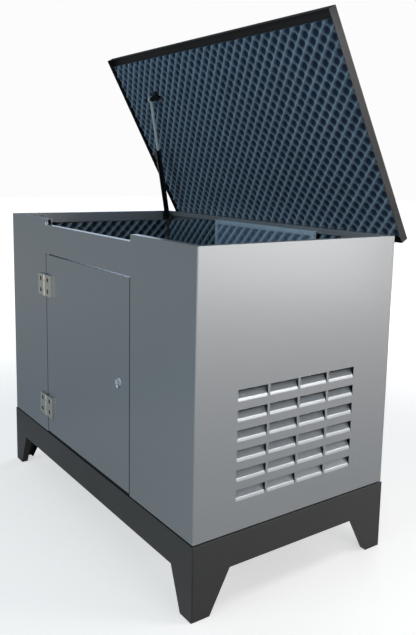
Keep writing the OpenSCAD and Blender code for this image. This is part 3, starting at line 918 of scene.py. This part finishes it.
@dataclass(frozen=True)
class Louvres:
    """Flaps of the louvred wall: each leaves the outer face by a bend and leans into the housing.

    first is the height of the lowest row, pitch the distance between rows and tall a flap's own height. On
    the solid the bend turns evenly, in steps, about a radius, up to the angle lean in degrees. The pressed
    flap has a narrow lip of 8 mm that leans by 17 degrees, and a second bend above it: its section leaves
    the outer face as a chain of straight lengths, in millimetres, each with its own lean. slack and near
    are how far a point may be off its place, as a length and as an angle or a share of the pitch.
    """

    first: float = 388 * MM
    pitch: float = 71.5 * MM
    tall: float = 34 * MM
    radius: float = 9 * MM
    lean: float = 30.0
    steps: int = 6
    leans: tuple[float, ...] = (5, 12, 17, 22, 28, 33, 37)
    lengths: tuple[float, ...] = (1.5, 1.5, 8, 1.2, 1.2, 1.2, 23.1)
    sheet: float = 2 * MM
    slack: float = 0.1 * MM
    near: float = 1e-3

    def press(self, mesh: bpy.types.Mesh) -> None:
        """Lays the rows of points of every flap over the pressed section.

        A point on the bend belongs to the row of its angle about the bend's middle, and any point past the
        bend to the last row. Each row goes to its corner of the new outline, which is the running sum of
        the lengths along their leans, less the point's own depth under the outer face.

        Args:
            mesh: Mesh of the wall, whose flaps are changed.
        """
        points = read_points(mesh)
        x, z = points[:, 0] - points[:, 0].max(), points[:, 2] - self.first
        rise = z - np.floor(z / self.pitch + self.near) * self.pitch
        end = math.radians(self.lean)
        angle = np.arctan2(rise, x + self.radius)
        bent = angle <= end + self.near
        past = self.radius - (x + self.radius) * math.cos(end) - rise * math.sin(end)
        deep = np.where(bent, self.radius - np.hypot(x + self.radius, rise), past)
        thick = (deep > -self.slack) & (deep < self.sheet + self.slack)
        flap = (z > 0) & (rise > 0) & (rise < self.tall) & thick
        leans, lengths = np.radians(self.leans), np.array(self.lengths) * MM
        run = np.stack([-lengths * np.sin(leans), lengths * np.cos(leans)], -1).cumsum(0)
        outline = np.concatenate([[[0.0, 0.0]], run])
        faces = np.concatenate([[0.0], (leans[1:] + leans[:-1]) / 2, leans[-1:]])
        row = np.where(bent, np.rint(angle / end * self.steps), self.steps + 1).astype(int)[flap]
        inward = np.stack([-np.cos(faces[row]), -np.sin(faces[row])], -1) * deep[flap, None]
        place = outline[row] + inward
        points[flap, 0] += place[:, 0] - x[flap]
        points[flap, 2] += place[:, 1] - rise[flap]
        log.info("louvre points: %d", int(flap.sum()))
        mesh.vertices.foreach_set("co", points.astype(np.float32).ravel())
        mesh.update()


@dataclass
class Housing:
    """Folded wall sheets: ends, rear, front pillars and the header over the door."""

    edge: float = 0.8 * MM
    louvred: str = "right_end_wall"
    louvres: Louvres = Louvres()
    sheets: tuple[str, ...] = (
        "left_end_wall",
        "right_end_wall",
        "rear_wall",
        "front_left_pillar",
        "front_right_pillar",
        "header_panel",
    )

    def build(self) -> None:
        """Makes every wall sheet with rounded, painted edges, and presses the louvres."""
        for node in self.sheets:
            piece = formed(node, self.edge)
            if node == self.louvred:
                self.louvres.press(piece.data)
            dress(piece, PANEL_PAINT, Body.SHELL, node)


@dataclass
class Linings:
    """Convoluted foam on the inside of the walls.

    The rear lining's top edge is lower by rear_drop at the left, and rises over rear_slope.
    """

    crests: Crests = Crests(saddle=0.6, lean=-1)
    rear_drop: float = 26 * MM
    rear_slope: float = 310 * MM

    def line(self, node: str, s: Point, low_corner: tuple[float, float] = (0.0, 0.0)) -> None:
        """Makes one upright lining in the space of its solid, with its backing on the wall.

        Args:
            node: The solid it replaces.
            s: Direction along the sheet, so that s cross up points into the housing.
            low_corner: Length and drop of the sloping stretch of the top edge.
        """
        sheet = Sheet.filling(box_of(node), s, (0, 0, 1), self.crests, low_corner=low_corner)
        piece = dress(sheet.build(node + "_convoluted"), LINING_FOAM, Body.SHELL, node)

    def build(self) -> None:
        """Makes all the linings of the housing."""
        self.line("left_end_foam", (0, 1, 0))
        self.line("right_end_foam", (0, -1, 0))
        for node in ("front_left_foam", "front_right_foam", "header_foam"):
            self.line(node, (-1, 0, 0))
        self.line("rear_foam", (1, 0, 0), (self.rear_slope, self.rear_drop))


@dataclass
class FramedPanel:
    """Free-standing board in front of the rear lining, held in a galvanised channel."""

    edge: float = 0.7 * MM
    channel: float = 18 * MM
    crests: Crests = Crests(pitch=42 * MM, depth=6 * MM, saddle=0.8, lean=-1)

    def build(self) -> None:
        """Makes the channel and the board, whose convolutions stop at the channel."""
        dress(formed("partition_frame", self.edge), EDGING, Body.SHELL, "partition_frame")
        box = box_of("partition_foam")
        sheet = Sheet.filling(box, (1, 0, 0), (0, 0, 1), self.crests, margin=self.channel)
        piece = dress(sheet.build("partition_board"), BOARD_FOAM, Body.SHELL, "partition_foam")


@dataclass(frozen=True)
class Screw:
    """Button head with a hollow socket, on the face of what it holds.

    rise is the head's height, foot how far it reaches into the face, and sill how far the socket's floor
    lies under the face. shoulder gives the rounded edge as shares of the radius and of the height. The
    socket narrows to the first share of its radius at half of its depth, and to the second at its floor.
    """

    radius: float = 5 * MM
    rise: float = 1.2 * MM
    socket: float = 2.4 * MM
    deep: float = 2.2 * MM
    foot: float = 0.5 * MM
    sill: float = 0.3 * MM
    shoulder: tuple[Pair, ...] = ((1, 0.45), (0.93, 0.8), (0.78, 1))
    narrows: Pair = (0.94, 0.9)
    around: int = 20
    finish: Finish = PLATED_STEEL

    def build(self, name: str, at: Point, along: Point, body: Body) -> None:
        """Turns the head: foot, side, rounded edge, flat top, and the socket down to its floor.

        Args:
            name: Name of the piece.
            at: Middle of the head on the face.
            along: Direction that the face looks in.
            body: The body it rides on.
        """
        profile = [
            (0, -self.foot),
            (self.radius, -self.foot),
            *((self.radius * wide, self.rise * up) for wide, up in self.shoulder),
            (self.socket, self.rise),
            (self.socket * self.narrows[0], self.rise - self.deep / 2),
            (self.socket * self.narrows[1], -self.sill),
            (0, -self.sill),
        ]
        dress(turned(name, profile, at, along, self.around), self.finish, body)


@dataclass
class DoorHinges:
    """Cast butt hinges of the door, with a black cap screw at the bottom of each round pocket as painted
    shade.

    reach is the distance of the screws from the pin, spread their height over and under the middle of the
    leaf, and floor the depth of the pockets.
    """

    edge: float = 2.2 * MM
    pin_edge: float = 0.5 * MM
    # The screws' black finish is painted shade that darkens the pockets.
    screw: Screw = Screw(9 * MM, 1.5 * MM, 3.5 * MM, 1.5 * MM, finish=BRACKET_PAINT)
    reach: float = 38.25 * MM
    spread: float = 26 * MM
    floor: float = 3.5 * MM

    def build(self) -> None:
        """Makes the leaves, pins and screws of both hinges."""
        for hinge in ("upper_hinge_", "lower_hinge_"):
            pin = hinge + "pin"
            leaves = ((hinge + "frame_leaf", Body.SHELL), (hinge + "door_leaf", Body.DOOR))
            for leaf, body in leaves:
                dress(formed(leaf, self.edge), HINGE_METAL, body, leaf)
            dress(formed(pin, self.pin_edge), PLATED_STEEL, Body.SHELL, pin)
            for leaf, body in leaves:
                self.screws(leaf, pin, body)

    def screws(self, leaf: str, pin: str, body: Body) -> None:
        """Puts two screws in a leaf, on the floors of its pockets.

        Args:
            leaf: The leaf's solid.
            pin: The pin's solid.
            body: The body they ride on.
        """
        low, high = box_of(leaf)
        middle, pin_middle = (low + high) / 2, sum(box_of(pin)) / 2
        x = pin_middle[0] + math.copysign(self.reach, middle[0] - pin_middle[0])
        for n, up in enumerate((-self.spread, self.spread), 1):
            at = (x, high[1] - self.floor, middle[2] + up)
            self.screw.build(f"{leaf}_screw_{n}", at, (0, -1, 0), body)


@dataclass
class Door:
    """Folded door pan with its lining and its quarter-turn lock.

    The lining leaves room round the lock's body and a gap under its cam. The lock's round dust cap has
    swung down from the keyhole and hangs on a pin. The outlines of both are rows of radius and distance
    from the door, and hang_cap and hang_pin are their places beside the lock, all in millimetres.
    """

    edge: float = 0.5 * MM
    lock_edge: float = 2.2 * MM
    cam_edge: float = 0.5 * MM
    crests: Crests = Crests(depth=14 * MM)
    room: float = 17 * MM
    gap: float = 2 * MM
    cap: tuple[Pair, ...] = ((0, 3.2), (7, 3.2), (8, 4), (8, 5), (7.2, 7), (5.4, 8.6), (3, 9.6), (0, 10))
    pin: tuple[Pair, ...] = ((0, 2), (2.2, 2), (2.2, 7), (1.5, 7.8), (0, 8))
    hang_cap: Pair = (-10, -20)
    hang_pin: Pair = (-10, -10)
    around: int = 24

    def build(self) -> None:
        """Makes the pan, its lining with a hole for the lock, and the lock."""
        dress(formed("door_panel", self.edge), PANEL_PAINT, Body.DOOR, "door_panel")
        low, high = box = box_of("door_foam")
        lock = sum(box_of("lock_body")) / 2
        cam_low, _ = box_of("lock_cam")
        hole = (
            high[0] - lock[0] - self.room,
            cam_low[2] - self.gap - low[2],
            high[0] - lock[0] + self.room,
            lock[2] + self.room - low[2],
        )
        sheet = Sheet.filling(box, (-1, 0, 0), (0, 0, 1), self.crests, holes=(hole,))
        piece = dress(sheet.build("door_foam_convoluted"), LINING_FOAM, Body.DOOR, "door_foam")
        dress(formed("lock_body", self.lock_edge), LOCK_CHROME, Body.DOOR, "lock_body")
        dress(formed("lock_cam", self.cam_edge), PLATED_STEEL, Body.DOOR, "lock_cam")
        face = box_of("door_panel")[0][1]
        self.hang("cap", self.cap, self.hang_cap, (lock[0], face, lock[2]))
        self.hang("cap_pin", self.pin, self.hang_pin, (lock[0], face, lock[2]))

    def hang(self, name: str, outline: tuple[Pair, ...], place: Pair, lock: Point) -> None:
        """Makes the dust cap or the pin that it hangs on.

        Args:
            name: End of the piece's name.
            outline: Rows of radius and distance from the door, in millimetres.
            place: How far beside and over the lock it is, in millimetres.
            lock: Middle of the lock on the door's outer face.
        """
        profile = [(radius * MM, out * MM) for radius, out in outline]
        at = (lock[0] + place[0] * MM, lock[1], lock[2] + place[1] * MM)
        made = turned(f"lock_dust_{name}", profile, at, (0, -1, 0), self.around)
        dress(made, LOCK_CHROME, Body.DOOR)


@dataclass
class Lid:
    """Folded lid pan, its lining and its rear hinges.

    The lining leaves a gap round the strut's upper bracket. Three screws hold each frame leaf to the rear
    wall. They lie at shares of its length, screw_up over its lower edge, on its face, which is leaf_thick
    out from the wall.
    """

    hinge: Hinged
    edge: float = 1.0 * MM
    leaf_edge: float = 1.2 * MM
    pin_edge: float = 0.5 * MM
    crests: Crests = Crests(depth=20 * MM, saddle=0.4, lean=-1, steps=10)
    gap: float = 2 * MM
    screw: Screw = Screw()
    shares: tuple[float, ...] = (0.16, 0.5, 0.84)
    screw_up: float = 14 * MM
    leaf_thick: float = 5 * MM

    def build(self) -> None:
        """Makes the pan, the lining with a hole for the strut's bracket, and the hinges."""
        dress(formed("lid_panel", self.edge), LID_PAINT, Body.LID, "lid_panel")
        low, high = box = self.hinge.closed_box("lid_foam")
        bracket_low, bracket_high = self.hinge.closed_box("strut_upper_bracket")
        hole = (
            high[0] - bracket_high[0] - self.gap,
            bracket_low[1] - self.gap - low[1],
            high[0] - bracket_low[0] + self.gap,
            bracket_high[1] + self.gap - low[1],
        )
        sheet = Sheet.filling(box, (-1, 0, 0), (0, 1, 0), self.crests, holes=(hole,))
        piece = dress(sheet.build("lid_foam_convoluted", self.hinge), LID_FOAM, Body.LID, "lid_foam")
        for hinge in ("left_lid_hinge_", "right_lid_hinge_"):
            for leaf, body in ((hinge + "frame_leaf", Body.SHELL), (hinge + "lid_leaf", Body.LID)):
                dress(formed(leaf, self.leaf_edge), HINGE_METAL, body, leaf)
            dress(formed(hinge + "pin", self.pin_edge), PLATED_STEEL, Body.SHELL, hinge + "pin")
            self.screws(hinge + "frame_leaf")

    def screws(self, leaf: str) -> None:
        """Puts the screws through a frame leaf into the rear wall.

        Args:
            leaf: The leaf's solid.
        """
        low, high = box_of(leaf)
        face = box_of("rear_wall")[1][1] + self.leaf_thick
        for n, share in enumerate(self.shares, 1):
            at = (low[0] + (high[0] - low[0]) * share, face, low[2] + self.screw_up)
            self.screw.build(f"{leaf}_screw_{n}", at, (0, 1, 0), Body.SHELL)


@dataclass
class GasStrut:
    """Gas strut with its two brackets."""

    edge: float = 0.8 * MM
    links: tuple[tuple[str, Finish, Body], ...] = (
        ("strut_lower_bracket", BRACKET_PAINT, Body.SHELL),
        ("strut_upper_bracket", BRACKET_PAINT, Body.LID),
        ("strut_cylinder", STRUT_PAINT, Body.STRUT_TUBE),
        ("strut_rod", ROD_CHROME, Body.STRUT_PISTON),
    )

    def build(self) -> None:
        """Makes the brackets, the cylinder and the rod."""
        for node, finish, body in self.links:
            dress(formed(node, self.edge), finish, body, node)


# ---------- studio ----------


@dataclass(frozen=True)
class SoftBox:
    """Rectangular soft light aimed from its place at a target, which does not show itself.

    size is its width and height in metres and power is in watts. diffuse says whether it lights surfaces,
    and glossy whether it is mirrored in them.
    """

    name: str
    place: Point
    target: Point
    size: Pair
    power: float
    tint: str = "#ffffff"
    diffuse: bool = True
    glossy: bool = True

    def build(self) -> None:
        """Makes the light in the scene."""
        light = bpy.data.lights.new(self.name, "AREA")
        light.shape = "RECTANGLE"
        light.size, light.size_y = self.size
        light.energy = self.power
        light.color = linear(self.tint)[:3]
        made = bpy.data.objects.new(self.name, light)
        made.location = self.place
        aim = Vector(self.target) - Vector(self.place)
        made.rotation_euler = aim.to_track_quat("-Z", "Y").to_euler()
        made.visible_camera = False
        made.visible_diffuse, made.visible_glossy = self.diffuse, self.glossy
        bpy.context.scene.collection.objects.link(made)


# Small light close over the louvred end, which fades down the wall.
KEY = SoftBox("key", (1.3, 0.16, 1.95), (0.88, -0.03, 0.8), (0.25, 0.6), 6)
# Broad, nearly white light beside the louvred end, which lights it and is mirrored in it.
HALL = SoftBox("hall", (5.1, 2.7, 1.1), (0.83, 0.0, 0.9), (3.6, 1.8), 28, "#fbf9f8")
# High strip that is only mirrored: the louvres' bright lips and the sheen at the top of the end.
STRIP = SoftBox("strip", (4.5, 3.2, 2.1), (0.83, 0.0, 0.6), (3.6, 0.8), 75, diffuse=False)
# Light on the louvred end that isn't mirrored in it.
SIDE = SoftBox("side", (5.5, 0.3, 1.3), (0.83, 0.0, 0.9), (2.0, 1.6), 55, glossy=False)
# Cool light on the front and on the lid's lining.
FILL = SoftBox("fill", (0.2, -4.5, 2.3), (0.0, -0.4, 0.9), (3.0, 2.4), 76, "#b6d6e4")
# Cool light on the rear wall and the back of the lid.
BACK = SoftBox("back", (-2.6, 5.4, 2.3), (-0.3, 0.4, 0.9), (3.4, 2.6), 110, "#e4eefa")
# Faint light behind the set that is only mirrored: a thin line along the top flanges.
GLINT = SoftBox("glint", (-5.0, 3.5, 2.0), (0.0, 0.0, 1.2), (4.0, 3.0), 42, "#c8def4", diffuse=False)


@dataclass(frozen=True)
class FloorPaint(Surface):
    """Matt studio floor, which serves the camera, the light and the mirrors apart.

    The camera sees a pale floor that turns white away from the set. Surfaces are lit by a duller one. What
    they mirror is a glow that grows away from the set and falls off to the left.
    """

    seen: str = "#e4ddd7"
    dull: str = "#a4a8ac"
    glow: str = "#fff7ef"

    def shade(self, tree: bpy.types.NodeTree, where: bpy.types.NodeSocket) -> bpy.types.NodeSocket:
        """Chooses a floor by the kind of ray that meets it.

        Args:
            tree: Node tree that takes the nodes.
            where: Place on the piece, in metres.

        Returns:
            The shader's output.
        """
        path = add_node(tree, "ShaderNodeLightPath")
        along = add_node(tree, "ShaderNodeSeparateXYZ", feeds={0: where})
        away = add_node(tree, "ShaderNodeVectorMath", feeds={0: where}, operation="LENGTH")
        grows = add_node(
            tree,
            "ShaderNodeMapRange",
            {"From Max": 6.0, "To Min": 0.2, "To Max": 1.0},
            {"Value": away.outputs["Value"]},
        )
        falls = add_node(
            tree,
            "ShaderNodeMapRange",
            {"From Min": -1.5, "From Max": 1.0, "To Min": 0.25, "To Max": 1.0},
            {"Value": along.outputs["X"]},
        )
        dim = add_node(
            tree, "ShaderNodeMath", feeds={0: grows.outputs[0], 1: falls.outputs[0]}, operation="MULTIPLY"
        )
        sheen = add_node(
            tree,
            "ShaderNodeMath",
            feeds={0: path.outputs["Is Glossy Ray"], 1: dim.outputs[0]},
            operation="MULTIPLY",
        )
        mirrored = add_node(
            tree, "ShaderNodeEmission", {"Color": linear(self.glow)}, {"Strength": sheen.outputs[0]}
        )
        dull = add_node(tree, "ShaderNodeBsdfDiffuse", {"Color": linear(self.dull)})
        lit = add_node(tree, "ShaderNodeAddShader", feeds={0: dull.outputs[0], 1: mirrored.outputs[0]})
        whitens = add_node(
            tree,
            "ShaderNodeMapRange",
            {"From Min": 1.4, "From Max": 4.5, "To Min": 0.56, "To Max": 0.97},
            {"Value": away.outputs["Value"]},
            interpolation_type="SMOOTHSTEP",
        )
        lift = add_node(
            tree, "ShaderNodeEmission", {"Color": linear("#ffffff")}, {"Strength": whitens.outputs[0]}
        )
        pale = add_node(tree, "ShaderNodeBsdfDiffuse", {"Color": linear(self.seen)})
        shown = add_node(tree, "ShaderNodeAddShader", feeds={0: pale.outputs[0], 1: lift.outputs[0]})
        skin = add_node(
            tree,
            "ShaderNodeMixShader",
            feeds={0: path.outputs["Is Camera Ray"], 1: lit.outputs[0], 2: shown.outputs[0]},
        )
        return skin.outputs[0]


@dataclass
class Studio:
    """Pale floor and surround, soft boxes and the camera.

    reach is half the floor's width, and horizon and zenith are the strengths of the surround. The camera
    stands at eye, with its lens and sensor in millimetres, and sees things between the distances of sight.
    """

    lights: tuple[SoftBox, ...] = (KEY, HALL, STRIP, SIDE, FILL, BACK, GLINT)
    paint: FloorPaint = FloorPaint("matt_floor_paint")
    reach: float = 30.0
    horizon: float = 0.3
    zenith: float = 0.32
    eye: Point = (2.6404, -1.7069, 1.5194)
    turn: Point = (1.5689, 0.8202, -0.6734)
    lens: float = 40.022
    sensor: float = 36.0
    shift: Pair = (-0.02578, -0.06309)
    sight: Pair = (0.05, 200.0)

    def build(self) -> None:
        """Makes the floor, the backdrop, the lights and the camera."""
        self.floor()
        self.backdrop()
        for light in self.lights:
            light.build()
        self.camera()

    def floor(self) -> None:
        """Makes a wide flat floor under the feet."""
        square = np.array([(-1, -1, 0), (1, -1, 0), (1, 1, 0), (-1, 1, 0)], float)
        plane = mesh_object("studio_floor", square * self.reach, [[0, 1, 2, 3]], False)
        plane.data.materials.append(self.paint.material())

    def backdrop(self) -> None:
        """Makes a surround that looks evenly pale and lights the set softly, a little more from above."""
        world = bpy.data.worlds.new("studio")
        bpy.context.scene.world = world
        world.use_nodes = True
        tree = world.node_tree
        tree.nodes.clear()
        seen = add_node(tree, "ShaderNodeLightPath").outputs["Is Camera Ray"]
        toward = add_node(tree, "ShaderNodeTexCoord").outputs["Generated"]
        apart = add_node(tree, "ShaderNodeSeparateXYZ", feeds={0: toward})
        sky = add_node(
            tree,
            "ShaderNodeMapRange",
            {"To Min": self.horizon, "To Max": self.zenith},
            {"Value": apart.outputs["Z"]},
        )
        soft = add_node(
            tree, "ShaderNodeBackground", {"Color": linear("#d6e6f2")}, {"Strength": sky.outputs[0]}
        )
        pale = add_node(tree, "ShaderNodeBackground", {"Color": linear("#fcfcfc"), "Strength": 1.0})
        both = add_node(
            tree, "ShaderNodeMixShader", feeds={0: seen, 1: soft.outputs[0], 2: pale.outputs[0]}
        )
        add_node(tree, "ShaderNodeOutputWorld", feeds={"Surface": both.outputs[0]})

    def camera(self) -> None:
        """Makes the camera: its turn is a rotation vector from the frame to the lens."""
        data = bpy.data.cameras.new("camera")
        data.lens = self.lens
        data.sensor_width = self.sensor
        data.shift_x, data.shift_y = self.shift
        data.clip_start, data.clip_end = self.sight
        made = bpy.data.objects.new("camera", data)
        angle = math.hypot(*self.turn)
        to_lens = Matrix.Rotation(angle, 3, Vector(self.turn) / angle)
        made.matrix_world = (to_lens.transposed() @ Matrix.Diagonal((1, -1, -1))).to_4x4()
        made.location = self.eye
        bpy.context.scene.collection.objects.link(made)
        bpy.context.scene.camera = made


def main() -> None:
    """Builds every sub-assembly in order."""
    bpy.context.scene.view_settings.view_transform = "Standard"
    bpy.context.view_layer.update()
    Base().build()
    Housing().build()
    Linings().build()
    FramedPanel().build()
    DoorHinges().build()
    Door().build()
    Lid(lid_hinge()).build()
    GasStrut().build()
    Studio().build()


if __name__ == "__main__":
    main()
